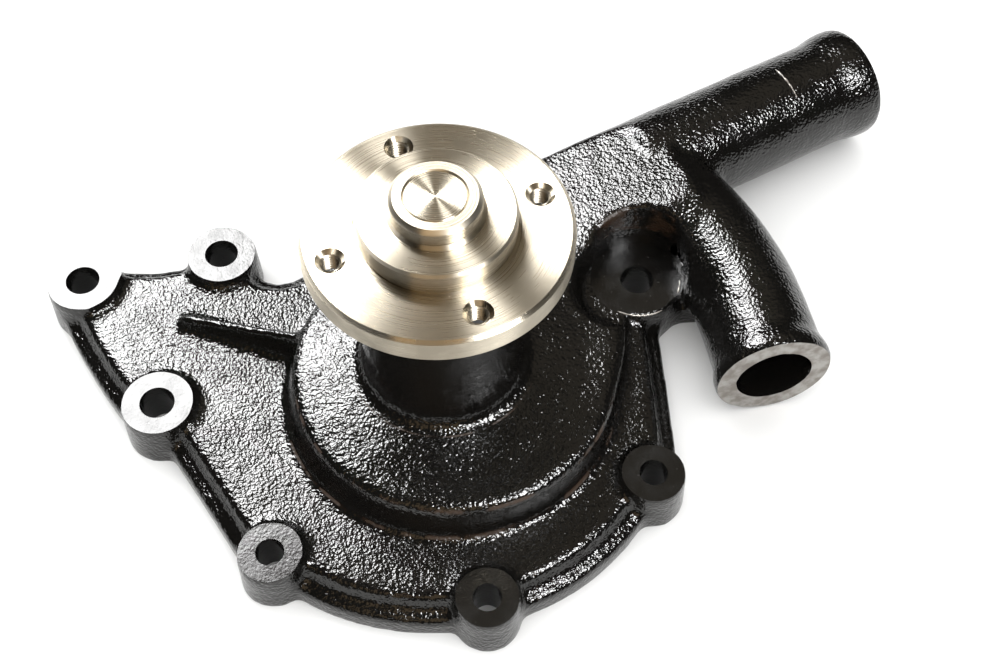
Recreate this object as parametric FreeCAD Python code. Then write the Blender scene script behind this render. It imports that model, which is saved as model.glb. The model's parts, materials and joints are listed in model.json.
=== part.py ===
import FreeCAD, Part
import math
import os

# Engine water pump, millimetres. The housing lies on its mounting face, z = 0.
# The origin is the shaft axis on that face, and +Z points along the shaft to the pulley hub.

Vec = FreeCAD.Vector
UP = Vec(0, 0, 1)

# Bolted flange of the housing
RIM_TOP = 8.0
PLATEAU_TOP = 13.0
BOSS_TOP = 16.0
LEDGE = 5.0
PLATEAU_ROUND = 2.4
CORNER_ROUND = 8.0
LARGE_HOLE_R = 5.5
SMALL_HOLE_R = 4.3

# Bolt bosses: place of the hole, hole radius, boss radius at its machined top
BOSSES = {
    "left_middle": (-89.5, -10.0, LARGE_HOLE_R, 11.2),
    "lower_left": (-49.5, -60.5, SMALL_HOLE_R, 9.6),
    "bottom": (14.5, -74.0, SMALL_HOLE_R, 9.4),
    "lower_right": (64.5, -33.0, SMALL_HOLE_R, 9.7),
    "left_end": (-120.5, 36.5, LARGE_HOLE_R, 11.6),
    "upper_left": (-76.0, 48.0, LARGE_HOLE_R, 11.3),
    "pipe_side": (62.5, 39.0, LARGE_HOLE_R, 14.0),
}
RECESS_R = 15.6
RECESS_FLOOR = 14.2
EAR_TIPS = [(-116.8, 24.7), (-107.5, 40.4)]
EAR_SPREAD = 55.0
RIB_START = (-86.0, 22.5)
RIB_END = (-38.0, 7.0)
RIB_LENGTH = 50.5
RIB_HALF = 1.5
RIB_START_TOP = 16.6

# Pump chamber (the raised round dome) and bearing barrel
DOME_FOOT = (1.8, -1.6, 52.4)
DOME_EDGE = (3.6, -2.4, 50.2)
DOME_TOP = 27.5
DOME_ROUND = 3.2
DOME_CROWN = 29.4
ROOF_LOW = 28.6
ROOF_X = 33.0
ROOF_SLOPE = 12.0
ROOF_FRONT = (28.0, 27.5, 20.0)
BARREL_R = 24.3
BARREL_TOP = 81.0
BARREL_FILLET = 4.6
CHAMBER = (2.0, -1.8, 46.0)
CHAMBER_TOP = 22.5
WALL = 5.0
PASSAGE_INSET = 11.5
WEEP_R = 2.5
WEEP_Z = 39.5
WEEP_AZ = 165.0

# Hose pipes
PIPE_Z = 19.0
MAIN_R = 18.4
MAIN_BORE_R = 14.5
MAIN_AZ = 30.0
MAIN_OFFSET = 38.5
DUCT_START = 8.0
DUCT_BORE_R = 9.5
DUCT_BORE_DROP = 3.5
ROUND_START = 97.0
MAIN_BORE_START = 104.0
MAIN_END = 186.0
BRANCH_R = 17.6
BRANCH_BORE_R = 12.1
BRANCH_END = (103.7, 0.2)
BRANCH_AZ = 102.0
BRANCH_STRAIGHT = 21.0
BRANCH_BEND_R = 109.0
BRANCH_SWEEP = 38.0
# Hose beads: length from the mouth, rise over the pipe, length of the round land
MAIN_BEAD = (13.0, 1.3, 4.0)
BRANCH_BEAD = (8.0, 1.3, 2.5)
BEAD_LIP = 1.0

# Shaft and its bearing
SHAFT_R = 8.7
SHAFT_BOTTOM = 2.0
IMPELLER_SEAT_R = 8.0
IMPELLER_SEAT_TOP = 26.0
RACE_R = 19.0
RACE_BOTTOM = 42.0
RACE_TOP = 80.0
BALL_R = 4.365
BALL_COUNT = 7
GROOVE_DEPTH = 0.9
BALL_GAP = 0.08
CAGE_HALF = 5.4
REAR_ROW_Z = 52.0
FRONT_ROW_Z = 70.0
PITCH_R = SHAFT_R - GROOVE_DEPTH + BALL_GAP + BALL_R
RACE_BORE_R = PITCH_R + BALL_R + BALL_GAP - GROOVE_DEPTH

# Pulley hub
HUB_R = 38.0
HUB_FACE = 94.0
HUB_THICKNESS = 8.5
HUB_BOSS_R = 15.0
HUB_BOSS_BOTTOM = 82.6
STEP_R = 22.2
STEP_TOP = 101.2
NOSE_R = 12.8
NOSE_TOP = 107.5
TAPPED_R = 3.0
TAPPED_PCD = 61.0
TAPPED_AZ = 22.6

# Shaft seal, from the impeller up
SEAL_BORE_R = 18.3
SEAL_BORE_TOP = 37.0
DRAIN_CHAMBER_R = 15.5
CARBON_BOTTOM = 27.15
CARBON_TOP = 31.0
CARBON_R = 13.1
CARBON_BORE_R = 9.6
CASE_ROOF = 36.2
CASE_NECK_R = 10.8
SPRING_R = 15.0
SPRING_WIRE_R = 0.6
SPRING_BOTTOM = 32.2
MATING_BOTTOM = 22.5
MATING_R = 13.4
CUP_R = 14.6
CUP_BOTTOM = 21.0

# Impeller
IMPELLER_R = 36.0
IMPELLER_BOTTOM = 3.0
DISC_THICKNESS = 3.0
VANE_TOP = 15.0
VANE_COUNT = 6
IMPELLER_BOSS_R = 16.0
IMPELLER_BOSS_TOP = 25.0


def polar(radius, degrees, z=0.0):
    angle = math.radians(degrees)
    return Vec(radius * math.cos(angle), radius * math.sin(angle), z)


def cylinder(x, y, radius, z0, z1):
    return Part.makeCylinder(radius, z1 - z0, Vec(x, y, z0))


def tube(outer, inner, z0, z1):
    return cylinder(0, 0, outer, z0, z1).cut(cylinder(0, 0, inner, z0 - 1, z1 + 1))


def turned(profile):
    """Solid of revolution about Z from (radius, z) corners."""
    points = [Vec(r, 0, z) for r, z in profile]
    face = Part.Face(Part.makePolygon(points + points[:1]))
    return face.revolve(Vec(0, 0, 0), UP, 360)


def chained(first, *pieces, place=lambda x, y: Vec(x, y, 0)):
    """Closed wire: each piece is an end point, or a (middle, end) pair for an arc."""
    edges = []
    here = first
    for piece in pieces + (first,):
        if isinstance(piece[0], tuple):
            middle, end = piece
            edges.append(Part.Arc(place(*here), place(*middle), place(*end)).toShape())
            here = end
        elif piece != here:
            edges.append(Part.makeLine(place(*here), place(*piece)))
            here = piece
    return Part.Wire(edges)


def turned_wire(first, *pieces):
    """Solid of revolution about Z from a chain of (radius, z) lines and arcs."""
    wire = chained(first, *pieces, place=lambda r, z: Vec(r, 0, z))
    return Part.Face(wire).revolve(Vec(0, 0, 0), UP, 360)


def ring_at(corners, z):
    points = [Vec(x, y, z) for x, y in corners]
    return Part.makePolygon(points + points[:1])


def fused(solids):
    return solids[0].multiFuse(solids[1:])


def edges_at(shape, z):
    return [e for e in shape.Edges if abs(e.BoundBox.ZMin - z) < 1e-6 and abs(e.BoundBox.ZMax - z) < 1e-6]


def flange_outline():
    """Edge of the bolted flange, without the round bulges of the bosses."""
    return chained(
        (-129.5, 31.0),
        ((-114.8, 6.5), (-99.5, -13.0)),
        (-91.0, -14.0),
        (-60.0, -58.0),
        (-44.0, -67.2),
        ((14.4, -76.9), (62.0, -43.5)),
        (73.0, -22.0),
        ((71.6, 2.0), (70.0, 22.0)),
        ((72.4, 29.0), (78.0, 32.2)),
        (92.0, 34.0),
        (60.0, 84.0),
        ((-14.0, 67.0), (-50.5, 45.0)),
        ((-58.0, 42.5), (-68.0, 52.0)),
        (-90.0, 48.5),
        ((-101.0, 46.5), (-114.0, 47.5)),
        (-127.0, 44.0),
    )


def flange():
    outline = flange_outline()
    rim = Part.Face(outline).extrude(Vec(0, 0, RIM_TOP))
    rounded = Part.Face(outline).makeOffset2D(-LEDGE - CORNER_ROUND).makeOffset2D(CORNER_ROUND)
    plateau = rounded.extrude(Vec(0, 0, PLATEAU_TOP))
    plateau = plateau.makeFillet(PLATEAU_ROUND, edges_at(plateau, PLATEAU_TOP))
    return [rim, plateau]


def boss(x, y, radius):
    lower = Part.makeCone(radius + 1.0, radius + 0.3, BOSS_TOP - 0.6, Vec(x, y, 0))
    upper = Part.makeCone(radius + 0.3, radius - 0.3, 0.6, Vec(x, y, BOSS_TOP - 0.6))
    return lower.fuse(upper)


def boss_ears():
    """Pointed corners that run from the end boss onto the two flange edges."""
    x, y, _, radius = BOSSES["left_end"]
    ears = []
    for tip in EAR_TIPS:
        heading = math.degrees(math.atan2(tip[1] - y, tip[0] - x))
        right = polar(radius, heading - EAR_SPREAD)
        left = polar(radius, heading + EAR_SPREAD)
        outline = ring_at([(x, y), (x + right.x, y + right.y), tip, (x + left.x, y + left.y)], 0)
        ears.append(Part.Face(outline).extrude(Vec(0, 0, BOSS_TOP)))
    return ears


def dome():
    foot = Part.Wire(Part.makeCircle(DOME_FOOT[2], Vec(DOME_FOOT[0], DOME_FOOT[1], PLATEAU_TOP - 3)))
    edge = Part.Wire(Part.makeCircle(DOME_EDGE[2], Vec(DOME_EDGE[0], DOME_EDGE[1], DOME_TOP)))
    shell = Part.makeLoft([foot, edge], True, True)
    return shell.makeFillet(DOME_ROUND, edges_at(shell, DOME_TOP))


def barrel():
    """Bearing barrel with its flared foot on the slightly crowned dome."""
    flare_r = BARREL_R + BARREL_FILLET
    flare_top = DOME_CROWN + BARREL_FILLET
    bend = BARREL_FILLET * (1 - math.sqrt(0.5))
    inside = DOME_EDGE[2] - 6
    return turned_wire(
        (0, DOME_TOP - WALL), (inside, DOME_TOP - WALL), (inside, DOME_TOP), (flare_r, DOME_CROWN),
        ((BARREL_R + bend, DOME_CROWN + bend), (BARREL_R, flare_top)),
        (BARREL_R, BARREL_TOP - 1), (BARREL_R - 1, BARREL_TOP), (0, BARREL_TOP),
    )


def main_axis(distance):
    along = polar(distance, MAIN_AZ)
    across = polar(MAIN_OFFSET, MAIN_AZ + 90)
    return along + across + Vec(0, 0, PIPE_Z)


def bead(end, inward, radius, size):
    """Hose bead at the mouth of a pipe: rounded lip, short round land, long smooth fall."""
    length, rise, land = size
    crest = radius + rise
    fall = BEAD_LIP + land
    bend = BEAD_LIP * (1 - math.sqrt(0.5))
    solid = turned_wire(
        (0, 0), (crest - BEAD_LIP, 0), ((crest - bend, bend), (crest, BEAD_LIP)), (crest, fall),
        ((radius + rise * 0.55, (fall + length) / 2), (radius - 0.1, length)), (0, length),
    )
    solid.Placement = FreeCAD.Placement(end, FreeCAD.Rotation(UP, inward))
    return solid


def main_pipe(radius, start, end):
    return Part.makeCylinder(radius, end - start, main_axis(start), polar(1, MAIN_AZ))


def branch_frame():
    end = Vec(BRANCH_END[0], BRANCH_END[1], PIPE_Z)
    inward = polar(1, BRANCH_AZ)
    bend_start = end + inward * BRANCH_STRAIGHT
    centre = bend_start + polar(BRANCH_BEND_R, BRANCH_AZ + 90)
    return end, inward, bend_start, centre


def branch_pipe(radius, over=0.0):
    """Curved pipe: a straight mouth, then a wide bend that runs into the main pipe."""
    end, inward, bend_start, centre = branch_frame()
    mouth = Part.makeCylinder(radius, BRANCH_STRAIGHT + over, end - inward * over, inward)
    start_az = BRANCH_AZ - 90
    ring = Part.makeTorus(BRANCH_BEND_R, radius, centre, UP, 0, 360, BRANCH_SWEEP)
    ring.rotate(centre, UP, start_az)
    inner_end = centre + polar(BRANCH_BEND_R, start_az + BRANCH_SWEEP)
    return [mouth, ring, Part.makeSphere(radius, inner_end)]


def volute_swell():
    """The dome grows outwards on its way round to the pipes."""
    outline = chained(
        (46.0, -28.0), ((54.3, -6.0), (57.5, 18.0)), (60.0, 32.0), (82.0, 46.0),
        (84.0, 70.0), (40.0, 78.0), (0.0, 50.0),
    )
    body = Part.Face(outline).extrude(Vec(0, 0, DOME_TOP))
    return body.makeFillet(DOME_ROUND, edges_at(body, DOME_TOP))


def above_roof():
    """Space over the sloped roof that carries the dome up to the level of the two pipes."""
    size = 250.0
    flat = Part.makeBox(size, size, size, Vec(ROOF_X - size, -size / 2, ROOF_LOW))
    sloped = Part.makeBox(size, size, size, Vec(0, -size / 2, 0))
    sloped.Placement = FreeCAD.Placement(Vec(ROOF_X, 0, ROOF_LOW), FreeCAD.Rotation(Vec(0, 1, 0), -ROOF_SLOPE))
    return flat.fuse(sloped)


def roof_block():
    """Solid filling between dome, duct and branch pipe; its front falls towards the flange."""
    corners = [(28, 32), (58, 24), (74, 36), (84, 52), (80, 66), (72, 84), (62, 91), (28, 71), (15, 60)]
    block = Part.Face(ring_at(corners, DOME_TOP - WALL)).extrude(Vec(0, 0, 40))
    y, z, slope = ROOF_FRONT
    size = 250.0
    front = Part.makeBox(size, size, size, Vec(-size / 2, 0, 0))
    front.Placement = FreeCAD.Placement(Vec(0, y, z), FreeCAD.Rotation(Vec(1, 0, 0), slope))
    front_over = front.common(Part.makeBox(size, size, size, Vec(-size / 2, -size / 2, 0)))
    return block.cut(front_over)


def over_duct():
    """Part of that space that ends where the round main pipe begins."""
    size = 250.0
    before = Part.makeBox(size, size, size, Vec(ROUND_START - size, -size / 2, 0))
    before.rotate(Vec(0, 0, 0), UP, MAIN_AZ)
    space = above_roof().common(before)
    space.translate(Vec(0, 0, -0.1))
    return space


def rib_section(distance, height, half):
    start = Vec(*RIB_START, 0)
    along = (Vec(*RIB_END, 0) - start).normalize()
    side = Vec(-along.y, along.x, 0)
    base = start + along * distance
    foot = half + 1.0
    low = PLATEAU_TOP - 2
    outline = [(foot, low), (half, height), (-half, height), (-foot, low)]
    points = [base + side * across + UP * up for across, up in outline]
    return Part.makePolygon(points + points[:1])


def rib():
    """Tapered stiffening rib from the flange up to the dome."""
    low = rib_section(0, RIB_START_TOP, RIB_HALF)
    high = rib_section(RIB_LENGTH, DOME_TOP - 0.5, RIB_HALF)
    return Part.makeLoft([low, high], True, True)


def chamber_floor():
    """Hollow of the open back: the round chamber and the passage under the plateau."""
    round_part = cylinder(CHAMBER[0], CHAMBER[1], CHAMBER[2], -1, CHAMBER_TOP)
    inset = Part.Face(flange_outline()).makeOffset2D(-PASSAGE_INSET)
    passage = inset.extrude(Vec(0, 0, PLATEAU_TOP - WALL + 1))
    passage.translate(Vec(0, 0, -1))
    left_side = Part.makeBox(140, 140, 20, Vec(-140, -75, -2))
    passage = passage.common(left_side)
    for x, y, _, boss_r in BOSSES.values():
        passage = passage.cut(cylinder(x, y, boss_r + 1, -2, 20))
    return [round_part, passage]


def barrel_bores():
    seal = cylinder(0, 0, SEAL_BORE_R, CHAMBER_TOP - 1, SEAL_BORE_TOP)
    drain = cylinder(0, 0, DRAIN_CHAMBER_R, SEAL_BORE_TOP - 1, RACE_BOTTOM + 1)
    bearing = cylinder(0, 0, RACE_R, RACE_BOTTOM, BARREL_TOP + 1)
    weep = Part.makeCylinder(WEEP_R, BARREL_R, polar(10, WEEP_AZ, WEEP_Z), polar(1, WEEP_AZ))
    return [seal, drain, bearing, weep]


def pump_housing():
    solids = flange() + [boss(x, y, boss_r) for x, y, _, boss_r in BOSSES.values()]
    solids += boss_ears() + [dome(), barrel(), volute_swell(), rib()]
    duct = main_pipe(MAIN_R, DUCT_START, MAIN_END - 1).fuse(Part.makeSphere(MAIN_R, main_axis(DUCT_START)))
    solids.append(duct.cut(over_duct()))
    solids.append(fused([roof_block()] + branch_pipe(BRANCH_R)).cut(above_roof()))
    solids.append(bead(main_axis(MAIN_END), polar(-1, MAIN_AZ), MAIN_R, MAIN_BEAD))
    end, inward, _, _ = branch_frame()
    solids.append(bead(end, inward, BRANCH_R, BRANCH_BEAD))
    body = fused(solids)

    cuts = chamber_floor() + barrel_bores()
    cuts += [main_pipe(MAIN_BORE_R, MAIN_BORE_START, MAIN_END + 1)] + branch_pipe(BRANCH_BORE_R, 1)
    duct_bore = main_pipe(DUCT_BORE_R, 20, MAIN_BORE_START + 2)
    duct_bore.translate(Vec(0, 0, -DUCT_BORE_DROP))
    cuts.append(duct_bore)
    cuts += [cylinder(x, y, hole_r, -1, BOSS_TOP + 1) for x, y, hole_r, _ in BOSSES.values()]
    x, y, _, boss_r = BOSSES["pipe_side"]
    cuts.append(cylinder(x, y, RECESS_R, RECESS_FLOOR, 60).cut(boss(x, y, boss_r)))
    cuts.append(Part.makeBox(400, 400, 40, Vec(-200, -200, -40)))
    for cut in cuts:
        body = body.cut(cut)
    return body


def pulley_hub():
    face = HUB_FACE
    under = face - HUB_THICKNESS
    groove = STEP_R - 0.4
    profile = [
        (SHAFT_R, HUB_BOSS_BOTTOM), (HUB_BOSS_R - 0.8, HUB_BOSS_BOTTOM), (HUB_BOSS_R, HUB_BOSS_BOTTOM + 0.8),
        (HUB_BOSS_R, under), (HUB_R - 0.9, under), (HUB_R, under + 0.9), (HUB_R, face - 0.9),
        (HUB_R - 1.1, face), (STEP_R + 1.0, face), (STEP_R + 0.7, face - 0.4), (groove, face - 0.4),
        (groove, face + 0.6), (STEP_R, face + 0.8), (STEP_R, STEP_TOP - 0.7), (STEP_R - 0.7, STEP_TOP),
        (NOSE_R + 0.9, STEP_TOP), (NOSE_R, STEP_TOP + 0.9), (NOSE_R, NOSE_TOP - 1.2), (NOSE_R - 1.2, NOSE_TOP),
        (SHAFT_R + 0.4, NOSE_TOP), (SHAFT_R, NOSE_TOP - 0.4),
    ]
    hub = turned(profile)
    for index in range(4):
        place = polar(TAPPED_PCD / 2, TAPPED_AZ + 90 * index)
        hub = hub.cut(cylinder(place.x, place.y, TAPPED_R, under - 1, face + 1))
        hub = hub.cut(Part.makeCone(TAPPED_R, TAPPED_R + 1.2, 1.2, Vec(place.x, place.y, face - 1.2)))
        hub = hub.cut(Part.makeCone(TAPPED_R + 0.8, TAPPED_R, 0.8, Vec(place.x, place.y, under)))
    return hub


def pump_shaft():
    """Shaft of the bearing unit, with its two ball grooves."""
    profile = [
        (0, SHAFT_BOTTOM), (IMPELLER_SEAT_R - 0.8, SHAFT_BOTTOM), (IMPELLER_SEAT_R, SHAFT_BOTTOM + 0.8),
        (IMPELLER_SEAT_R, IMPELLER_SEAT_TOP), (SHAFT_R, IMPELLER_SEAT_TOP + 0.5),
        (SHAFT_R, NOSE_TOP - 0.7), (SHAFT_R - 0.4, NOSE_TOP - 0.3), (0, NOSE_TOP - 0.3),
    ]
    shaft = turned(profile)
    for z in (REAR_ROW_Z, FRONT_ROW_Z):
        shaft = shaft.cut(Part.makeTorus(PITCH_R, BALL_R + BALL_GAP, Vec(0, 0, z)))
    return shaft


def bearing_outer_race():
    race = tube(RACE_R, RACE_BORE_R, RACE_BOTTOM, RACE_TOP)
    for z in (REAR_ROW_Z, FRONT_ROW_Z):
        race = race.cut(Part.makeTorus(PITCH_R, BALL_R + BALL_GAP, Vec(0, 0, z)))
    return race


def ball_row(z):
    balls = [Part.makeSphere(BALL_R, polar(PITCH_R, 360 * i / BALL_COUNT, z)) for i in range(BALL_COUNT)]
    return Part.makeCompound(balls)


def ball_cage(z):
    """Ring with one drilled pocket for each ball."""
    cage = tube(PITCH_R + 1.6, PITCH_R - 1.0, z - CAGE_HALF, z + CAGE_HALF)
    for index in range(BALL_COUNT):
        azimuth = 360 * index / BALL_COUNT
        pocket = Part.makeCylinder(BALL_R + 0.06, 10, polar(PITCH_R - 5, azimuth, z), polar(1, azimuth))
        cage = cage.cut(pocket)
    return cage


def bearing_seal(z):
    """Rubber lip ring that closes one end of the bearing."""
    lip = SHAFT_R + 0.3
    return turned([
        (lip, z + 0.5), (lip + 1.2, z), (RACE_BORE_R, z),
        (RACE_BORE_R, z + 1.6), (lip + 1.2, z + 1.6), (lip, z + 1.1),
    ])


def water_slinger():
    """Rubber flinger on the shaft, in the drain chamber between seal and bearing."""
    low = SEAL_BORE_TOP + 1.2
    return turned([(SHAFT_R, low), (11.0, low), (13.0, low + 2.0), (13.0, low + 2.8), (SHAFT_R, low + 2.8)])


def seal_case():
    """Pressed brass cup: flange on the chamber roof, wall in the seal bore, roof with a neck."""
    inner = SEAL_BORE_R - 1.0
    flange_r = SEAL_BORE_R + 2.7
    flange_low = CHAMBER_TOP - 1.2
    neck = CASE_NECK_R - 0.8
    neck_low = CASE_ROOF - 1.7
    return turned([
        (inner, flange_low), (flange_r, flange_low), (flange_r, CHAMBER_TOP), (SEAL_BORE_R, CHAMBER_TOP),
        (SEAL_BORE_R, SEAL_BORE_TOP), (neck, SEAL_BORE_TOP), (neck, neck_low), (CASE_NECK_R, neck_low),
        (CASE_NECK_R, CASE_ROOF), (inner, CASE_ROOF),
    ])


def seal_bellows():
    """Rubber sleeve from the neck of the case down to the carbon ring, with one soft fold."""
    return turned([
        (CASE_NECK_R, CASE_ROOF), (CASE_NECK_R, 32.6), (11.4, 32.0), (10.6, 31.4), (10.6, CARBON_TOP),
        (12.8, CARBON_TOP), (12.8, 31.6), (12.0, 32.4), (11.8, 33.6), (11.8, CASE_ROOF),
    ])


def seal_drive_band():
    """Steel band that clamps the bellows to the neck of the case."""
    return tube(12.5, 11.8, CASE_ROOF - 2.0, CASE_ROOF)


def seal_spring():
    bottom = SPRING_BOTTOM + SPRING_WIRE_R
    rise = CASE_ROOF - SPRING_WIRE_R - bottom
    helix = Part.makeHelix(rise / 2, rise, SPRING_R)
    section = Part.Wire(Part.makeCircle(SPRING_WIRE_R, Vec(SPRING_R, 0, 0), Vec(0, 1, 0)))
    spring = Part.Wire(helix).makePipeShell([section], True, True)
    spring.translate(Vec(0, 0, bottom))
    return spring


def seal_retainer():
    """Pressed steel holder round the carbon ring; the spring stands on its flange."""
    wall = CARBON_R + 0.7
    top = SPRING_BOTTOM - 0.1
    return turned([
        (CARBON_R, CARBON_TOP - 0.8), (wall, CARBON_TOP - 0.8), (wall, top - 0.7),
        (SPRING_R + 1.4, top - 0.7), (SPRING_R + 1.4, top), (CARBON_R, top),
    ])


def seal_carbon_ring():
    """Carbon ring with a narrow raised sealing face on its lower end."""
    return turned([
        (CARBON_BORE_R, CARBON_BOTTOM + 1.5), (10.6, CARBON_BOTTOM + 1.5), (10.6, CARBON_BOTTOM),
        (12.4, CARBON_BOTTOM), (12.4, CARBON_BOTTOM + 1.0), (CARBON_R, CARBON_BOTTOM + 1.0),
        (CARBON_R, CARBON_TOP), (CARBON_BORE_R, CARBON_TOP),
    ])


def mating_ring():
    """Ceramic ring that turns with the shaft against the carbon."""
    return tube(MATING_R, 9.2, MATING_BOTTOM, MATING_BOTTOM + 4.5)


def mating_ring_cup():
    """Rubber cup that holds the ceramic ring in the impeller's hub."""
    inner = IMPELLER_SEAT_R + 0.3
    return turned([
        (inner, CUP_BOTTOM), (CUP_R, CUP_BOTTOM), (CUP_R, CUP_BOTTOM + 5.0),
        (MATING_R, CUP_BOTTOM + 5.0), (MATING_R, MATING_BOTTOM), (inner, MATING_BOTTOM),
    ])


def vane(azimuth):
    """Backward-curved vane between two arcs, thinner at its tip."""
    inner_r = IMPELLER_BOSS_R - 1.5
    outer_r = IMPELLER_R - 0.5
    lead = [polar(inner_r, 0), polar(26.0, -14), polar(outer_r, -40)]
    trail = [polar(outer_r, -36), polar(26.0, -7), polar(inner_r, 14)]
    edges = [
        Part.Arc(*lead).toShape(), Part.makeLine(lead[2], trail[0]),
        Part.Arc(*trail).toShape(), Part.makeLine(trail[2], lead[0]),
    ]
    blade = Part.Face(Part.Wire(edges)).extrude(Vec(0, 0, VANE_TOP - IMPELLER_BOTTOM - 1))
    blade.translate(Vec(0, 0, IMPELLER_BOTTOM + 1))
    blade.rotate(Vec(0, 0, 0), UP, azimuth)
    return blade


def impeller():
    disc = cylinder(0, 0, IMPELLER_R, IMPELLER_BOTTOM, IMPELLER_BOTTOM + DISC_THICKNESS)
    hub = turned([
        (0, IMPELLER_BOTTOM), (IMPELLER_BOSS_R + 4, IMPELLER_BOTTOM), (IMPELLER_BOSS_R, IMPELLER_BOTTOM + 8),
        (IMPELLER_BOSS_R, IMPELLER_BOSS_TOP), (0, IMPELLER_BOSS_TOP),
    ])
    wheel = fused([disc, hub] + [vane(360 * i / VANE_COUNT) for i in range(VANE_COUNT)])
    wheel = wheel.cut(cylinder(0, 0, IMPELLER_SEAT_R, IMPELLER_BOTTOM - 1, IMPELLER_BOSS_TOP + 1))
    wheel = wheel.cut(cylinder(0, 0, CUP_R, CUP_BOTTOM, IMPELLER_BOSS_TOP + 1))
    return wheel


NODES = {
    "pump_housing": pump_housing,
    "pulley_hub": pulley_hub,
    "pump_shaft": pump_shaft,
    "bearing_outer_race": bearing_outer_race,
    "front_bearing_balls": lambda: ball_row(FRONT_ROW_Z),
    "rear_bearing_balls": lambda: ball_row(REAR_ROW_Z),
    "front_ball_cage": lambda: ball_cage(FRONT_ROW_Z),
    "rear_ball_cage": lambda: ball_cage(REAR_ROW_Z),
    "front_bearing_seal": lambda: bearing_seal(RACE_TOP - 2.0),
    "rear_bearing_seal": lambda: bearing_seal(RACE_BOTTOM + 0.4),
    "water_slinger": water_slinger,
    "seal_case": seal_case,
    "seal_bellows": seal_bellows,
    "seal_drive_band": seal_drive_band,
    "seal_spring": seal_spring,
    "seal_retainer": seal_retainer,
    "seal_carbon_ring": seal_carbon_ring,
    "mating_ring": mating_ring,
    "mating_ring_cup": mating_ring_cup,
    "impeller": impeller,
}

os.makedirs("parts", exist_ok=True)
for node, make in NODES.items():
    make().exportStep(os.path.join("parts", node + ".step"))
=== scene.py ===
import json
import math

import bmesh
import bpy
from mathutils import Matrix, Vector


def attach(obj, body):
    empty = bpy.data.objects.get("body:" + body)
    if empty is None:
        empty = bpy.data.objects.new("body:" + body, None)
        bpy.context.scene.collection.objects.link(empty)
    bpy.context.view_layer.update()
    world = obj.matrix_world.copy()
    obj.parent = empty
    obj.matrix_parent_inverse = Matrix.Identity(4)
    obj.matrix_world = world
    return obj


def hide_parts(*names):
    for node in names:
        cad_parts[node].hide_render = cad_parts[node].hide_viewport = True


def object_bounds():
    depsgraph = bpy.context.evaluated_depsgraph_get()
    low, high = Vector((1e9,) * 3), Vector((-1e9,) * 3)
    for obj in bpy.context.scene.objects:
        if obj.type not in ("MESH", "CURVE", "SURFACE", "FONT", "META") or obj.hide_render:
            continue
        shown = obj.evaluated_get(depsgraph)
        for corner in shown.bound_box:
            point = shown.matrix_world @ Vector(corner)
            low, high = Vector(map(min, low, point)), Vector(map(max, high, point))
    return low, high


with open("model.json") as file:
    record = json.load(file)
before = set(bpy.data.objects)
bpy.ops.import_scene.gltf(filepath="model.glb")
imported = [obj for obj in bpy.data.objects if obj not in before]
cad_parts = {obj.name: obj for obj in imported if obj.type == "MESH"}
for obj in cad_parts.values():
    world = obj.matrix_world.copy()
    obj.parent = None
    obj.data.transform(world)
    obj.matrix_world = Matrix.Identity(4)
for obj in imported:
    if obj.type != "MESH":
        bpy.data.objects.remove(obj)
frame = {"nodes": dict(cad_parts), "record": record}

bl_info = {
    "name": "Engine Water Pump",
    "version": (1, 0, 0),
    "blender": (4, 5, 0),
    "location": "View3D > Sidebar > Water Pump",
    "description": "Finishes the cast housing, turned hub, shaft seal and impeller of an engine water pump",
    "category": "Object",
}

CAD_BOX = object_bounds()
MM = 0.001
NODES = frame["nodes"]
MOUNTS = {mount["name"]: mount for mount in frame["record"]["mounts"]}
BOLT_HOLES = [mount for name, mount in MOUNTS.items() if name.endswith("_bolt_hole")]
SPIGOTS = [MOUNTS["main_hose_spigot"], MOUNTS["branch_hose_spigot"]]
PIPE_BOSS = MOUNTS["pipe_side_bolt_hole"]["pos_m"]
BOSS_TOP = BOLT_HOLES[0]["pos_m"][2] + BOLT_HOLES[0]["dims"]["length_mm"] * MM / 2
UP = (0, 0, 1)

# Cut faces of the casting. The mouths of the pipes are looked for beyond PIPE_ENDS_X
PIPE_ENDS_X = 90 * MM
PLUG_MARGIN = 0.8 * MM
BOSS_CUT_R = 15.4 * MM
BARREL_CUT_R = 28 * MM
SPIGOT_CUT_R = 24 * MM
CUT_DEPTH = 6 * MM
SPIGOT_CUT_DEPTH = 8 * MM
SHARP_ANGLE = math.radians(40)

# Relief in front of the boss beside the pipes: a leaning bar, cut off just above the boss
RELIEF_LEAN = (-0.26, -0.36, 0.9)
RELIEF_R = 15.2 * MM
RELIEF_SUNK = 10 * MM
RELIEF_LENGTH = 55 * MM
RELIEF_FLOOR = 0.4 * MM

# Burrs on that boss: heading of the start and sweep in degrees, distance from the hole's axis
BOSS_BURRS = ((-118, 60, 14.4 * MM), (-22, 24, 14.2 * MM))
BURR_SUNK = 0.1 * MM
BURR_THICKNESS = 0.55 * MM
RIDGE_STEPS = 40
RIDGE_SIDES = 10

# Mark across the main pipe
MARK_FROM_SPIGOT = 28.5 * MM
MARK_R = 18.3 * MM
MARK_START = math.radians(-14)
MARK_SWEEP = math.radians(42)
MARK_THICKNESS = 0.5 * MM

# Hub, its threads and the travel that the seal's coil leaves free
HUB_FACE_Z = 94 * MM
NOSE_INNER_R = 12.2 * MM
NOSE_OUTER_R = 12.8 * MM
TAPPED_ANGLE = math.radians(22.6)
THREAD_TURNS = 6
THREAD_STEPS = 32
THREAD_BELOW_FACE = 7.6 * MM
SEAL_TRAVEL = 1.3 * MM


# ---------------------------------------------------------------- settings


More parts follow.
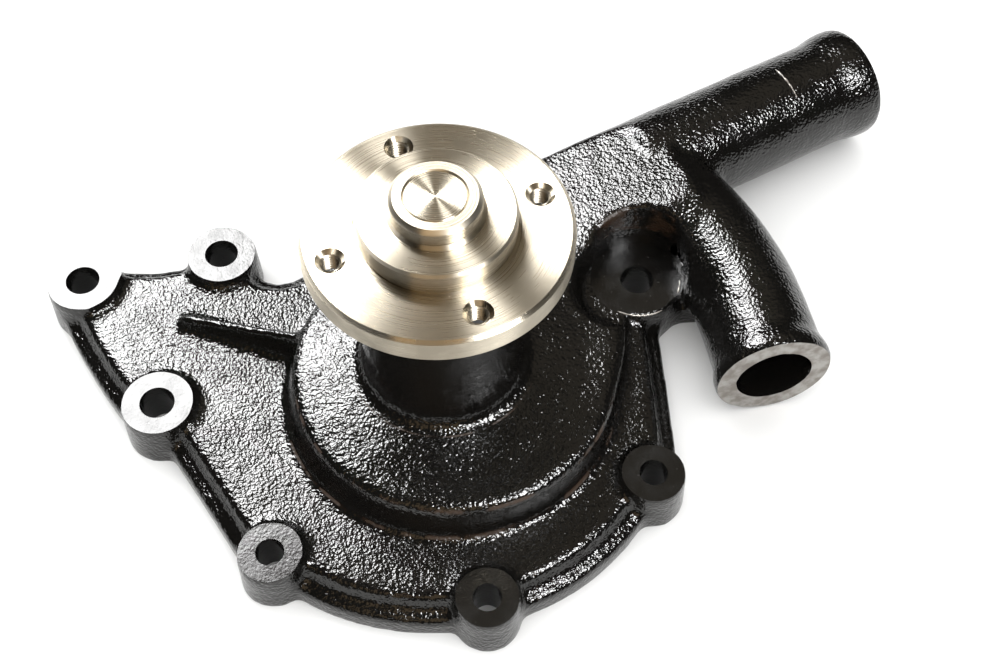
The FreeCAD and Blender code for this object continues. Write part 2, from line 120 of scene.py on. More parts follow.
class CastingSettings(bpy.types.PropertyGroup):
    """Sizes and colours of the cast and painted housing"""

    voxel: bpy.props.FloatProperty(
        name="Skin Step", description="Edge length of the cast skin's faces",
        default=1.15 * MM, unit="LENGTH"
    )
    rounding: bpy.props.IntProperty(
        name="Rounding", description="How often the cast skin is smoothed to round its edges", default=7
    )
    waviness: bpy.props.FloatProperty(
        name="Waviness", description="Height of the long waves left by the mould",
        default=0.35 * MM, unit="LENGTH"
    )
    allowance: bpy.props.FloatProperty(
        name="Machining Allowance", description="Iron left on faces that are cut flat",
        default=1.6 * MM, unit="LENGTH"
    )
    paint: bpy.props.FloatVectorProperty(
        name="Paint", description="Colour of the gloss paint", subtype="COLOR",
        default=(0.005, 0.0046, 0.004)
    )
    iron: bpy.props.FloatVectorProperty(
        name="Iron", description="Colour of bare cut iron", subtype="COLOR", default=(0.34, 0.33, 0.31)
    )
    rust: bpy.props.FloatVectorProperty(
        name="Rust", description="Colour of the stain in the creases", subtype="COLOR",
        default=(0.05, 0.024, 0.01)
    )
    grain: bpy.props.FloatProperty(
        name="Grain", description="Size of the bumps of the sand-cast skin",
        default=1.0 * MM, unit="LENGTH"
    )
    grain_depth: bpy.props.FloatProperty(
        name="Grain Depth", description="Height of those bumps", default=0.4 * MM, unit="LENGTH"
    )


class HubSettings(bpy.types.PropertyGroup):
    """Sizes and colours of the turned hub, its threads and the shaft"""

    steel: bpy.props.FloatVectorProperty(
        name="Steel", description="Colour of the turned steel", subtype="COLOR", default=(0.52, 0.47, 0.38)
    )
    thread_pitch: bpy.props.FloatProperty(
        name="Thread Pitch", description="Pitch of the tapped holes", default=1.0 * MM, unit="LENGTH"
    )
    thread_depth: bpy.props.FloatProperty(
        name="Thread Depth", description="How far the thread stands in from the major diameter",
        default=0.55 * MM, unit="LENGTH"
    )


class StageSettings(bpy.types.PropertyGroup):
    """Camera, lights and floor"""

    elevation: bpy.props.FloatProperty(
        name="Elevation", description="How steeply the camera looks down",
        default=math.radians(56.5), subtype="ANGLE"
    )
    roll: bpy.props.FloatProperty(
        name="Roll", description="Turn of the camera about its view",
        default=math.radians(-0.55), subtype="ANGLE"
    )
    distance: bpy.props.FloatProperty(
        name="Distance", description="From the camera to the plane of the hub",
        default=393.3 * MM, unit="LENGTH"
    )
    aim_right: bpy.props.FloatProperty(
        name="Aim Right", description="Aim point to the right of the hub",
        default=17.4 * MM, unit="LENGTH"
    )
    aim_down: bpy.props.FloatProperty(
        name="Aim Down", description="Aim point below the hub", default=28.8 * MM, unit="LENGTH"
    )
    lens: bpy.props.FloatProperty(
        name="Lens", description="Focal length on a 36 mm wide sensor", default=52.2, unit="CAMERA"
    )
    floor: bpy.props.FloatVectorProperty(
        name="Floor", description="Colour of the floor", subtype="COLOR", default=(0.93, 0.93, 0.92)
    )


# ---------------------------------------------------------------- materials


class Finish:
    """A material and short ways to add and join its nodes."""

    def __init__(self, name):
        self.material = bpy.data.materials.new(name)
        self.material.use_nodes = True
        self.tree = self.material.node_tree
        self.shader = self.tree.nodes["Principled BSDF"]
        self.place = self.node("ShaderNodeTexCoord").outputs["Object"]

    def node(self, kind, **settings):
        made = self.tree.nodes.new(kind)
        for key, value in settings.items():
            setattr(made, key, value)
        return made

    def link(self, source, socket):
        self.tree.links.new(source, socket)

    def feed(self, socket, value):
        if isinstance(value, bpy.types.NodeSocket):
            self.link(value, socket)
        else:
            socket.default_value = value

    def math(self, operation, first, second=0.0, third=0.0):
        made = self.node("ShaderNodeMath", operation=operation)
        for socket, value in zip(made.inputs, (first, second, third)):
            self.feed(socket, value)
        return made.outputs[0]

    def noise(self, size, detail=3.0, roughness=0.55, output="Fac"):
        """Noise whose bumps are about size metres across."""
        made = self.node("ShaderNodeTexNoise")
        self.link(self.place, made.inputs["Vector"])
        made.inputs["Scale"].default_value = 1 / size
        made.inputs["Detail"].default_value = detail
        made.inputs["Roughness"].default_value = roughness
        return made.outputs[output]

    def ramp(self, source, low, high, start=0.0, end=1.0):
        made = self.node("ShaderNodeMapRange", interpolation_type="SMOOTHSTEP")
        self.link(source, made.inputs["Value"])
        for name, value in (("From Min", low), ("From Max", high), ("To Min", start), ("To Max", end)):
            made.inputs[name].default_value = value
        return made.outputs["Result"]

    def blend(self, factor, first, second):
        made = self.node("ShaderNodeMix", data_type="RGBA")
        self.feed(made.inputs["Factor"], factor)
        for socket, value in ((made.inputs["A"], first), (made.inputs["B"], second)):
            if isinstance(value, bpy.types.NodeSocket):
                self.link(value, socket)
            else:
                socket.default_value = (*value, 1.0)
        return made.outputs["Result"]

    def bump(self, height, depth, under=None):
        made = self.node("ShaderNodeBump")
        self.link(height, made.inputs["Height"])
        made.inputs["Distance"].default_value = depth
        if under:
            self.link(under, made.inputs["Normal"])
        return made.outputs["Normal"]

    def set(self, **values):
        """Sets or links the shader's sockets: base_color becomes Base Color."""
        for key, value in values.items():
            name = {"ior": "IOR"}.get(key) or key.replace("_", " ").title()
            socket = self.shader.inputs[name]
            if isinstance(value, tuple):
                value = (*value, 1.0)
            self.feed(socket, value)
        return self

    def radius(self, centre_x=0.0, centre_y=0.0):
        """Distance from an upright axis, and the place's own x, y and z."""
        parts = self.node("ShaderNodeSeparateXYZ")
        self.link(self.place, parts.inputs[0])
        x, y, z = parts.outputs
        across = self.math("SUBTRACT", x, centre_x)
        ahead = self.math("SUBTRACT", y, centre_y)
        squares = self.math("MULTIPLY_ADD", across, across, self.math("MULTIPLY", ahead, ahead))
        return self.math("SQRT", squares), x, y, z

    def crease(self, y, z, centre_x, centre_y, ring, width, low, high, start, end):
        """Thin line along a round crease, fading in from y = start to y = end."""
        radius = self.radius(centre_x, centre_y)[0]
        offset = self.math("ABSOLUTE", self.math("SUBTRACT", radius, ring))
        line = self.ramp(offset, 0.0, width, 1.0, 0.0)
        above = self.ramp(z, low - 1 * MM, low)
        below = self.ramp(z, high, high + 1 * MM, 1.0, 0.0)
        level = self.math("MULTIPLY", above, below)
        side = self.ramp(y, start, end)
        return self.math("MULTIPLY", self.math("MULTIPLY", line, level), side)


# Creases where rust shows, in millimetres: centre x, y, radius, width, height range, fade in along y
RUST_CREASES = (
    (0, 0, 28.9, 0.5, 29.2, 31.5, -8, -22),
    (3.6, -2.4, 49.6, 0.6, 25.5, 28.5, -8, -22),
    (1.8, -1.6, 53.0, 0.7, 12.0, 15.0, -8, -22),
    (62.5, 39.0, 16.2, 1.4, 24.0, 34.0, 46, 50),
)


def cast_paint(settings):
    """Gloss black paint over a sand-cast skin, with thin brown stains along the creases."""
    finish = Finish("black_cast_paint")
    radius, x, y, z = finish.radius()
    coarse = finish.noise(settings.grain * 2.2, detail=1.0, roughness=0.5)
    fine = finish.noise(settings.grain, detail=1.0, roughness=0.5)
    grain = finish.math("ADD", fine, finish.math("MULTIPLY", coarse, 0.3))
    near_shaft = finish.ramp(radius, 27 * MM, 30 * MM, 1.0, 0.0)
    on_barrel = finish.math("MULTIPLY", near_shaft, finish.ramp(z, 30 * MM, 36 * MM))
    calm = finish.math("MULTIPLY_ADD", on_barrel, -0.85, 1.0)
    calm = finish.math("MULTIPLY", calm, finish.ramp(x, 84 * MM, 96 * MM, 1.0, 0.9))
    patches = finish.ramp(finish.noise(18 * MM, detail=2.0), 0.35, 0.65, 0.65, 1.0)
    height = finish.math("MULTIPLY", grain, finish.math("MULTIPLY", patches, calm))
    normal = finish.bump(finish.noise(6 * MM, detail=2.0), 0.3 * MM)
    normal = finish.bump(height, settings.grain_depth, normal)
    stain = 0.0
    for crease in RUST_CREASES:
        stain = finish.math("MAXIMUM", finish.crease(y, z, *(value * MM for value in crease)), stain)
    broken = finish.ramp(finish.noise(9 * MM, detail=4.0), 0.44, 0.6)
    stain = finish.math("MULTIPLY", stain, broken)
    colour = finish.blend(stain, tuple(settings.paint), tuple(settings.rust))
    gloss = finish.ramp(finish.noise(7 * MM, detail=3.0), 0.3, 0.7, 0.1, 0.16)
    gloss = finish.math("ADD", gloss, finish.math("MULTIPLY", stain, 0.4))
    finish.set(base_color=colour, roughness=gloss, normal=normal)
    return finish.material


def machined_paint(settings):
    """The same paint over a face that was cut flat: smooth, with faint cutter marks."""
    finish = Finish("black_machined_paint")
    normal = finish.bump(finish.noise(2.5 * MM, detail=2.0), 0.05 * MM)
    normal = finish.bump(finish.noise(0.9 * MM, detail=1.0), 0.035 * MM, normal)
    wear = finish.ramp(finish.noise(1.2 * MM, detail=4.0), 0.66, 0.74)
    colour = finish.blend(wear, tuple(settings.paint), (0.05, 0.048, 0.045))
    gloss = finish.ramp(finish.noise(6 * MM, detail=4.0), 0.3, 0.7, 0.16, 0.26)
    finish.set(base_color=colour, roughness=gloss, normal=normal)
    return finish.material


def bare_iron(settings):
    """Cut iron with fine tool lines and dull patches."""
    finish = Finish("bare_cut_iron")
    patches = finish.noise(4 * MM, detail=5.0)
    colour = finish.blend(finish.ramp(patches, 0.35, 0.65), tuple(settings.iron), (0.22, 0.2, 0.18))
    normal = finish.bump(finish.noise(0.5 * MM, detail=2.0), 0.03 * MM)
    gloss = finish.ramp(patches, 0.3, 0.7, 0.38, 0.55)
    finish.set(base_color=colour, metallic=0.9, roughness=gloss, normal=normal)
    return finish.material


def turned_steel(name, colour, pitch, depth, roughness, anisotropy, satin_nose=False):
    """Lathe-turned metal: rings round the shaft axis, faint stains and small scratches."""
    finish = Finish(name)
    radius, _, _, z = finish.radius()
    path = finish.math("ADD", radius, z)
    rings = finish.node("ShaderNodeTexNoise", noise_dimensions="1D")
    finish.link(path, rings.inputs["W"])
    rings.inputs["Scale"].default_value = 1 / pitch
    rings.inputs["Detail"].default_value = 3.0
    scratches = finish.ramp(finish.noise(0.9 * MM, detail=6.0, roughness=0.7), 0.66, 0.72)
    stains = finish.ramp(finish.noise(11 * MM, detail=5.0), 0.42, 0.66)
    dark = tuple(channel * 0.8 for channel in colour)
    tone = finish.blend(stains, tuple(colour), dark)
    normal = finish.bump(rings.outputs["Fac"], depth)
    normal = finish.bump(scratches, 0.012 * MM, normal)
    gloss = finish.ramp(rings.outputs["Fac"], 0.3, 0.7, roughness * 0.8, roughness * 1.25)
    gloss = finish.math("ADD", gloss, finish.math("MULTIPLY", stains, 0.04))
    finish.set(base_color=tone, metallic=1.0, roughness=gloss, normal=normal)
    grooved = anisotropy
    if satin_nose:
        grooved = finish.ramp(radius, NOSE_INNER_R, NOSE_OUTER_R, anisotropy * 0.3, anisotropy)
    finish.set(anisotropic=grooved, anisotropic_rotation=0.25)
    tangent = finish.node("ShaderNodeTangent", direction_type="RADIAL", axis="Z")
    finish.link(tangent.outputs["Tangent"], finish.shader.inputs["Tangent"])
    return finish.material


def moulded(name, colour, roughness, size, metallic=0.0, depth=0.03 * MM):
    """Moulded, pressed or sintered stuff: mottled colour and a fine skin."""
    finish = Finish(name)
    mottle = finish.noise(size * 6, detail=4.0)
    lighter = tuple(min(1.0, channel * 1.35 + 0.01) for channel in colour)
    tone = finish.blend(finish.ramp(mottle, 0.35, 0.7), tuple(colour), lighter)
    normal = finish.bump(finish.noise(size, detail=3.0), depth)
    gloss = finish.ramp(mottle, 0.3, 0.7, roughness * 0.85, min(1.0, roughness * 1.2))
    finish.set(base_color=tone, metallic=metallic, roughness=gloss, normal=normal)
    return finish.material


def paint_node(node, material):
    """Gives a CAD node one material in place of its plain one."""
    mesh = NODES[node].data
    mesh.materials.clear()
    mesh.materials.append(material)


# ---------------------------------------------------------------- mesh helpers


def new_piece(name, bm, materials):
    mesh = bpy.data.meshes.new(name)
    bm.to_mesh(mesh)
    bm.free()
    piece = bpy.data.objects.new(name, mesh)
    bpy.context.scene.collection.objects.link(piece)
    for material in materials:
        mesh.materials.append(material)
    return piece


def settle(piece):
    """Turns the piece's modifiers into its own mesh."""
    depsgraph = bpy.context.evaluated_depsgraph_get()
    mesh = bpy.data.meshes.new_from_object(piece.evaluated_get(depsgraph))
    old = piece.data
    piece.modifiers.clear()
    piece.data = mesh
    bpy.data.meshes.remove(old)
    mesh.name = piece.name


def rod(bm, start, axis, radius, length, segments=64, material=0):
    """Closed round bar from start along axis."""
    axis = Vector(axis).normalized()
    turn = axis.to_track_quat("Z", "Y").to_matrix().to_4x4()
    middle = Matrix.Translation(Vector(start) + axis * length / 2)
    made = bmesh.ops.create_cone(
        bm, cap_ends=True, segments=segments, radius1=radius, radius2=radius,
        depth=length, matrix=middle @ turn,
    )
    faces = {face for vert in made["verts"] for face in vert.link_faces}
    for face in faces:
        face.material_index = material


def along(vert, axis):
    return vert.co.dot(Vector(axis))


# ---------------------------------------------------------------- housing


def casting_blank(settings):
    """The housing as it leaves the mould: stock on the cut faces and no drilled holes."""
    bm = bmesh.new()
    bm.from_mesh(NODES["pump_housing"].data)
    bmesh.ops.remove_doubles(bm, verts=bm.verts, dist=0.002 * MM)
    near = 0.02 * MM
    stock = settings.allowance
    barrel_top = max(vert.co.z for vert in bm.verts)
    cuts = [((0, 0, -1), 0.0), (UP, BOSS_TOP), (UP, barrel_top)]
    for spigot in SPIGOTS:
        axis = Vector(spigot["axis"])
        cuts.append((axis, max(along(vert, axis) for vert in bm.verts if vert.co.x > PIPE_ENDS_X)))
    for axis, level in cuts:
        ends = [vert for vert in bm.verts if abs(along(vert, axis) - level) < near]
        bmesh.ops.translate(bm, verts=ends, vec=Vector(axis) * stock)
    for hole in BOLT_HOLES:
        x, y, _ = hole["pos_m"]
        rod(bm, (x, y, -stock), UP, hole["dims"]["r_mm"] * MM + PLUG_MARGIN, BOSS_TOP + 2 * stock)
    return bm, cuts


def face_cutters():
    """Blocks that leave flat faces: under the flange and above every boss."""
    bm = bmesh.new()
    low, high = CAD_BOX
    size = 1.4 * (high - low)
    slab = Matrix.Translation((0, 0, -size.z / 2)) @ Matrix.Diagonal((size.x * 2, size.y * 2, size.z, 1))
    bmesh.ops.create_cube(bm, size=1.0, matrix=slab)
    for face in bm.faces:
        face.material_index = 1
    for hole in BOLT_HOLES:
        x, y, _ = hole["pos_m"]
        rod(bm, (x, y, BOSS_TOP), UP, BOSS_CUT_R, CUT_DEPTH, material=1)
    return bm


def hole_cutters(cuts):
    """Drills for the flange, and blocks that leave flat mouths on the pipes and the barrel."""
    bm = bmesh.new()
    for hole in BOLT_HOLES:
        x, y, _ = hole["pos_m"]
        rod(bm, (x, y, -5 * MM), UP, hole["dims"]["r_mm"] * MM, BOSS_TOP + 10 * MM, material=1)
    _, _, (_, barrel_top), *mouths = cuts
    for spigot, (axis, level) in zip(SPIGOTS, mouths):
        centre = Vector(spigot["pos_m"])
        end = centre + Vector(axis) * (level - centre.dot(axis))
        rod(bm, end, axis, SPIGOT_CUT_R, SPIGOT_CUT_DEPTH, material=2)
    rod(bm, (0, 0, barrel_top), UP, BARREL_CUT_R, CUT_DEPTH, material=2)
    return bm


def boss_relief():
    """Leaning bar that rounds the roof off in front of the boss beside the pipes."""
    x, y, _ = PIPE_BOSS
    bm = bmesh.new()
    rod(bm, (x, y, BOSS_TOP - RELIEF_SUNK), RELIEF_LEAN, RELIEF_R, RELIEF_LENGTH)
    bmesh.ops.bisect_plane(
        bm, geom=bm.verts[:] + bm.edges[:] + bm.faces[:], dist=0.001 * MM,
        plane_co=(0, 0, BOSS_TOP + RELIEF_FLOOR), plane_no=UP, clear_inner=True,
    )
    bmesh.ops.holes_fill(bm, edges=bm.edges)
    bmesh.ops.recalc_face_normals(bm, faces=bm.faces)
    return bm


def remesh(piece, name, step):
    made = piece.modifiers.new(name, "REMESH")
    made.mode = "VOXEL"
    made.voxel_size = step


def subtract(piece, cutter):
    cut = piece.modifiers.new("cut", "BOOLEAN")
    cut.operation = "DIFFERENCE"
    cut.solver = "EXACT"
    cut.object = cutter


def wavy(piece, height):
    waves = bpy.data.textures.new("mould_waves", "CLOUDS")
    waves.noise_scale = 14 * MM
    wave = piece.modifiers.new("waves", "DISPLACE")
    wave.texture = waves
    wave.texture_coords = "LOCAL"
    wave.strength = height
    wave.mid_level = 0.5


class PUMP_OT_housing(bpy.types.Operator):
    """Make the cast housing with its rounded skin, cut faces and drilled holes"""

    bl_idname = "pump.housing"
    bl_label = "Cast Housing"

    def execute(self, context):
        settings = context.scene.pump_casting
        bm, cuts = casting_blank(settings)
        skins = [cast_paint(settings), machined_paint(settings), bare_iron(settings)]
        piece = new_piece("cast_housing", bm, skins)
        self.cast(piece, settings, new_piece("relief_cutter", boss_relief(), skins))
        faces = new_piece("face_cutter", face_cutters(), skins)
        holes = new_piece("hole_cutter", hole_cutters(cuts), skins)
        for cutter in (faces, holes):
            subtract(piece, cutter)
            settle(piece)
            bpy.data.objects.remove(cutter)
        self.keep_inside(piece)
        piece.data.set_sharp_from_angle(angle=SHARP_ANGLE)
        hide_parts("pump_housing")
        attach(piece, "housing")
        return {"FINISHED"}

    def cast(self, piece, settings, relief):
        """Rounded, wavy skin, eased in front of the boss beside the pipes."""
        remesh(piece, "rough", settings.voxel)
        subtract(piece, relief)
        remesh(piece, "skin", settings.voxel)
        smooth = piece.modifiers.new("rounding", "SMOOTH")
        smooth.factor = 0.5
        smooth.iterations = settings.rounding
        wavy(piece, settings.waviness)
        settle(piece)
        bpy.data.objects.remove(relief)

    def keep_inside(self, piece):
        """Presses what stands past the CAD box back to its wall."""
        low, high = CAD_BOX
        for vert in piece.data.vertices:
            vert.co = [min(max(value, least), most) for value, least, most in zip(vert.co, low, high)]


# ---------------------------------------------------------------- casting flash


def bent_ridge(bm, centre, axis, start, sweep, thickness):
    """Thin round ridge bent about an axis, drawn out to a point at both ends."""
    axis = Vector(axis).normalized()
    centre, start = Vector(centre), Vector(start)
    outward = (start - centre).normalized()
    turn = Matrix((outward, axis, outward.cross(axis))).transposed().to_4x4()
    place = Matrix.Translation(start) @ turn
    ring = bmesh.ops.create_circle(bm, segments=RIDGE_SIDES, radius=thickness, matrix=place)["verts"]
    older = set(bm.verts) - set(ring)
    edges = list(dict.fromkeys(edge for vert in ring for edge in vert.link_edges))
    bmesh.ops.spin(bm, geom=ring + edges, cent=centre, axis=axis, angle=sweep, steps=RIDGE_STEPS)
    for vert in set(bm.verts) - older:
        offset = vert.co - centre
        flat = offset - axis * offset.dot(axis)
        angle = outward.angle(flat)
        middle = centre + Matrix.Rotation(math.copysign(angle, sweep), 3, axis) @ (start - centre)
        taper = max(0.05, math.sin(math.pi * min(1.0, angle / abs(sweep)))) ** 0.4
        wobble = 0.75 + 0.25 * math.sin(9.0 * angle + 40.0 * angle * angle)
        vert.co = middle + (vert.co - middle) * taper * wobble


class PUMP_OT_flash(bpy.types.Operator):
    """Raise the burr along the boss beside the pipes and the mark across the main pipe"""

    bl_idname = "pump.flash"
    bl_label = "Casting Flash"

    def execute(self, context):
        settings = context.scene.pump_casting
        centre = Vector((PIPE_BOSS[0], PIPE_BOSS[1], BOSS_TOP - BURR_SUNK))
        bm = bmesh.new()
        for heading, sweep, reach in BOSS_BURRS:
            a = math.radians(heading)
            start = centre + Vector((math.cos(a), math.sin(a), 0)) * reach
            bent_ridge(bm, centre, UP, start, math.radians(sweep), BURR_THICKNESS)
        self.finish(bm, "boss_burr", bare_iron(settings), "black_paint")
        bm = bmesh.new()
        spigot = MOUNTS["main_hose_spigot"]
        axis = Vector(spigot["axis"])
        centre = Vector(spigot["pos_m"]) - axis * MARK_FROM_SPIGOT
        crest = (Vector(UP) - axis * axis.z).normalized() * MARK_R
        start = centre + Matrix.Rotation(MARK_START, 3, axis) @ crest
        bent_ridge(bm, centre, axis, start, MARK_SWEEP, MARK_THICKNESS)
        self.finish(bm, "pipe_mark", bare_iron(settings), "black_paint")
        return {"FINISHED"}

    def finish(self, bm, name, material, slot):
        bmesh.ops.recalc_face_normals(bm, faces=bm.faces)
        piece = new_piece(name, bm, [material])
        piece.data.shade_smooth()
        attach(piece, "housing")


# ---------------------------------------------------------------- hub and shaft


class PUMP_OT_hub(bpy.types.Operator):
    """Finish the turned hub and the end of the shaft"""

    bl_idname = "pump.hub"
    bl_label = "Pulley Hub"

    def execute(self, context):
        settings = context.scene.pump_hub
        steel = tuple(settings.steel)
        turned = turned_steel("turned_hub_steel", steel, 0.3 * MM, 0.0015 * MM, 0.3, 1.0, satin_nose=True)
        paint_node("pulley_hub", turned)
        bright = tuple(min(1.0, channel * 1.1) for channel in steel)
        ground = turned_steel("ground_shaft_steel", bright, 0.25 * MM, 0.0025 * MM, 0.3, 1.0)
        paint_node("pump_shaft", ground)
        return {"FINISHED"}


class PUMP_OT_threads(bpy.types.Operator):
    """Cut the threads of the four tapped holes"""

    bl_idname = "pump.threads"
    bl_label = "Hub Threads"

    def execute(self, context):
        settings = context.scene.pump_hub
        pattern = MOUNTS["pulley_bolts"]
        major = pattern["dims"]["hole_r_mm"] * MM
        pitch = settings.thread_pitch
        low = HUB_FACE_Z - THREAD_BELOW_FACE
        ring = pattern["dims"]["pcd_mm"] * MM / 2
        bm = bmesh.new()
        for index in range(pattern["dims"]["count"]):
            angle = TAPPED_ANGLE + index * math.tau / pattern["dims"]["count"]
            centre = Vector((ring * math.cos(angle), ring * math.sin(angle), 0))
            crest = major - settings.thread_depth
            corners = [(major, 0.0), (crest, 0.4 * pitch), (crest, 0.52 * pitch), (major, 0.92 * pitch)]
            verts = [bm.verts.new(centre + Vector((r, 0, low + z))) for r, z in corners]
            edges = [bm.edges.new((a, b)) for a, b in zip(verts, verts[1:])]
            bmesh.ops.spin(
                bm, geom=verts + edges, cent=centre, axis=UP, dvec=(0, 0, pitch / THREAD_STEPS),
                angle=math.tau * THREAD_TURNS, steps=THREAD_STEPS * THREAD_TURNS,
                use_merge=False, use_duplicate=False,
            )
        bmesh.ops.recalc_face_normals(bm, faces=bm.faces)
        # Painted shade: the threads take the hub steel darkened to 0.6, standing in for the shade down in
        # the tapped holes
        shaded_thread_tone = tuple(channel * 0.6 for channel in settings.steel)
        cut_steel = turned_steel("thread_steel", shaded_thread_tone, 0.3 * MM, 0.01 * MM, 0.3, 0.0)
        piece = new_piece("hub_threads", bm, [cut_steel])
        piece.data.shade_smooth()
        piece.data.set_sharp_from_angle(angle=math.radians(25))
        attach(piece, "rotor")
        return {"FINISHED"}


# ---------------------------------------------------------------- inner parts


class PUMP_OT_bearing(bpy.types.Operator):
    """Finish the bearing's sleeve, balls, cages and lip rings"""

    bl_idname = "pump.bearing"
    bl_label = "Bearing"

    def execute(self, context):
        race = turned_steel("race_steel", (0.55, 0.55, 0.56), 0.2 * MM, 0.004 * MM, 0.2, 0.4)
        balls = turned_steel("ball_steel", (0.8, 0.8, 0.81), 2.0 * MM, 0.001 * MM, 0.08, 0.0)
        cage = moulded("moulded_cage", (0.5, 0.42, 0.3), 0.5, 0.4 * MM)
        rubber = moulded("lip_rubber", (0.018, 0.018, 0.018), 0.6, 0.3 * MM)
        paint_node("bearing_outer_race", race)
        for row in ("front", "rear"):
            paint_node(row + "_bearing_balls", balls)
            paint_node(row + "_ball_cage", cage)
            paint_node(row + "_bearing_seal", rubber)
        return {"FINISHED"}


class PUMP_OT_seal(bpy.types.Operator):
    """Finish the pieces of the shaft seal"""

    bl_idname = "pump.seal"
    bl_label = "Shaft Seal"

    def execute(self, context):
        brass = moulded("pressed_brass", (0.62, 0.42, 0.16), 0.3, 0.8 * MM, metallic=1.0)
        steel = moulded("pressed_steel", (0.6, 0.6, 0.6), 0.3, 0.8 * MM, metallic=1.0)
        rubber = moulded("bellows_rubber", (0.018, 0.018, 0.02), 0.6, 0.3 * MM)
        carbon = moulded("lapped_carbon", (0.03, 0.03, 0.033), 0.35, 0.3 * MM)
        ceramic = moulded("lapped_ceramic", (0.78, 0.77, 0.72), 0.3, 0.4 * MM)
        finishes = {
            "seal_case": brass, "seal_drive_band": steel, "seal_spring": steel, "seal_retainer": steel,
            "seal_bellows": rubber, "mating_ring_cup": rubber, "water_slinger": rubber,
            "seal_carbon_ring": carbon, "mating_ring": ceramic,
        }
        for node, finish in finishes.items():
            paint_node(node, finish)
        self.spring(steel)
        return {"FINISHED"}

    def spring(self, steel):
        """The coil, pressed shorter by the travel of the seal face so the retainer can lift."""
        bm = bmesh.new()
        bm.from_mesh(NODES["seal_spring"].data)
        bmesh.ops.remove_doubles(bm, verts=bm.verts, dist=0.002 * MM)
        top = max(vert.co.z for vert in bm.verts)
        bottom = min(vert.co.z for vert in bm.verts)
        short = 1 - SEAL_TRAVEL / (top - bottom)
        for vert in bm.verts:
            vert.co.z = top - (top - vert.co.z) * short
        bmesh.ops.recalc_face_normals(bm, faces=bm.faces)
        coil = new_piece("coil_spring", bm, [steel])
        coil.data.shade_smooth()
        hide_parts("seal_spring")
        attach(coil, "housing")


class PUMP_OT_impeller(bpy.types.Operator):
    """Finish the cast impeller"""

    bl_idname = "pump.impeller"
    bl_label = "Impeller"

    def execute(self, context):
        iron = moulded("cast_impeller_iron", (0.16, 0.15, 0.14), 0.5, 0.9 * MM, 0.8, 0.12 * MM)
        paint_node("impeller", iron)
        return {"FINISHED"}


# ---------------------------------------------------------------- stage


def soft_box(name, aim, azimuth, elevation, distance, size, brightness, colour=(1, 1, 1)):
    """Flat soft light of a given brightness, facing the aim point."""
    light = bpy.data.lights.new(name, "AREA")
    light.shape = "RECTANGLE"
    light.size, light.size_y = size
    light.energy = brightness * math.pi * size[0] * size[1]
    light.color = colour
    lamp = bpy.data.objects.new(name, light)
    a, e = math.radians(azimuth), math.radians(elevation)
    away = Vector((math.cos(a) * math.cos(e), math.sin(a) * math.cos(e), math.sin(e)))
    lamp.location = aim + away * distance
    lamp.rotation_mode = "QUATERNION"
    lamp.rotation_quaternion = away.to_track_quat("Z", "Y")
    lamp.visible_diffuse = False
    bpy.context.scene.collection.objects.link(lamp)
    return lamp


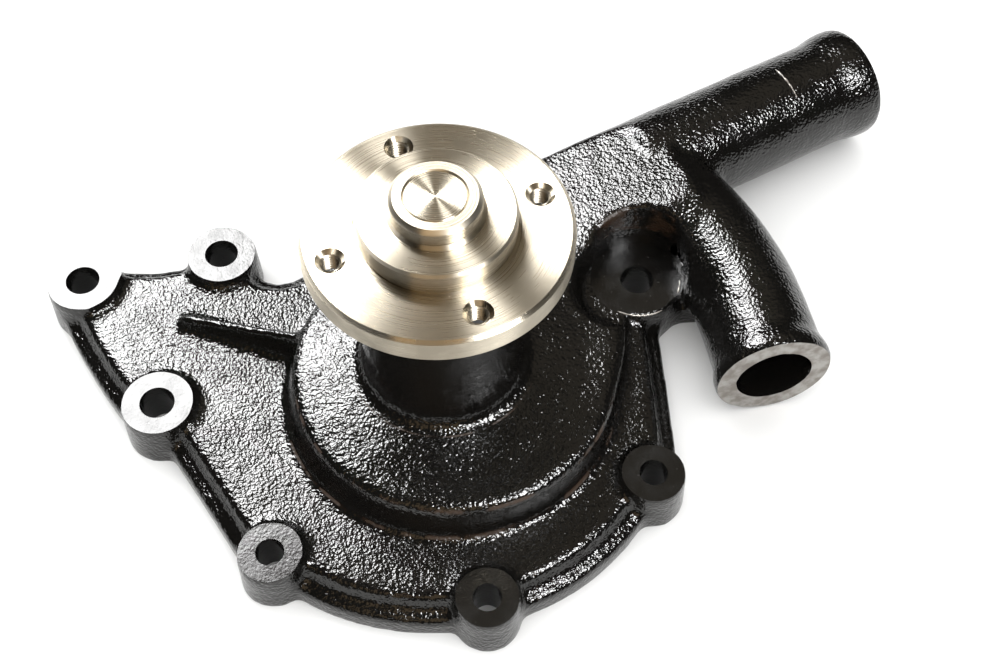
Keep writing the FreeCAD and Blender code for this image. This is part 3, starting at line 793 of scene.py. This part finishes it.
class PUMP_OT_stage(bpy.types.Operator):
    """Set up the floor, the soft lights and the camera"""

    bl_idname = "pump.stage"
    bl_label = "Stage"

    def execute(self, context):
        settings = context.scene.pump_stage
        self.camera(context, settings)
        self.floor(settings)
        aim = Vector((0, 0, 0.05))
        soft_box("back_left_box", aim, 126, 44, 1.3, (0.58, 0.88), 27.0)
        soft_box("right_box", aim, -38, 56, 1.3, (0.46, 0.46), 40.0)
        soft_box("back_panel", aim, 80, 66, 1.7, (2.0, 1.4), 0.32, (1.0, 0.86, 0.66))
        soft_box("front_panel", aim, 265, 42, 1.7, (1.3, 1.0), 1.0, (1.0, 0.72, 0.42))
        world = bpy.data.worlds.new("pale_room")
        world.use_nodes = True
        sky = world.node_tree.nodes["Background"]
        sky.inputs["Color"].default_value = (1.0, 1.0, 1.0, 1)
        sky.inputs["Strength"].default_value = 1.6
        world.cycles_visibility.glossy = False
        context.scene.world = world
        context.scene.view_settings.view_transform = "Standard"
        return {"FINISHED"}

    def camera(self, context, settings):
        e, roll = settings.elevation, settings.roll
        ahead = Vector((0, math.cos(e), -math.sin(e)))
        right = Vector((1, 0, 0))
        up = right.cross(ahead)
        place = Vector((0, 0, HUB_FACE_Z)) - ahead * settings.distance
        place += right * settings.aim_right - up * settings.aim_down
        rolled_right = right * math.cos(roll) - up * math.sin(roll)
        rolled_up = right * math.sin(roll) + up * math.cos(roll)
        camera = bpy.data.cameras.new("camera")
        camera.lens = settings.lens
        camera.sensor_width = 36
        camera.clip_start, camera.clip_end = 0.01, 50
        holder = bpy.data.objects.new("camera", camera)
        turn = Matrix((rolled_right, rolled_up, -ahead)).transposed().to_4x4()
        holder.matrix_world = Matrix.Translation(place) @ turn
        context.scene.collection.objects.link(holder)
        context.scene.camera = holder

    def floor(self, settings):
        bm = bmesh.new()
        level = Matrix.Translation((0, 0, -0.02 * MM))
        bmesh.ops.create_grid(bm, x_segments=1, y_segments=1, size=6.0, matrix=level)
        finish = Finish("pale_floor")
        colour = tuple(settings.floor)
        darker = tuple(channel * 0.98 for channel in colour)
        tone = finish.blend(finish.noise(0.3, detail=2.0), colour, darker)
        finish.set(base_color=tone, roughness=0.6)
        new_piece("floor", bm, [finish.material])


# ---------------------------------------------------------------- panel and registration


class PUMP_PT_panel(bpy.types.Panel):
    """Lists the steps that finish the pump"""

    bl_label = "Water Pump"
    bl_idname = "PUMP_PT_panel"
    bl_space_type = "VIEW_3D"
    bl_region_type = "UI"
    bl_category = "Water Pump"

    def draw(self, context):
        for step in STEPS:
            self.layout.operator(step.bl_idname)


STEPS = (
    PUMP_OT_housing, PUMP_OT_flash, PUMP_OT_hub, PUMP_OT_threads,
    PUMP_OT_bearing, PUMP_OT_seal, PUMP_OT_impeller, PUMP_OT_stage,
)
SETTINGS = {"pump_casting": CastingSettings, "pump_hub": HubSettings, "pump_stage": StageSettings}


def register():
    for kind in (*SETTINGS.values(), *STEPS, PUMP_PT_panel):
        bpy.utils.register_class(kind)
    for name, kind in SETTINGS.items():
        setattr(bpy.types.Scene, name, bpy.props.PointerProperty(type=kind))


def unregister():
    for name in SETTINGS:
        delattr(bpy.types.Scene, name)
    for kind in (PUMP_PT_panel, *reversed(STEPS), *reversed(SETTINGS.values())):
        bpy.utils.unregister_class(kind)


def main():
    register()
    for step in STEPS:
        group, name = step.bl_idname.split(".")
        getattr(getattr(bpy.ops, group), name)()


if __name__ == "__main__":
    main()
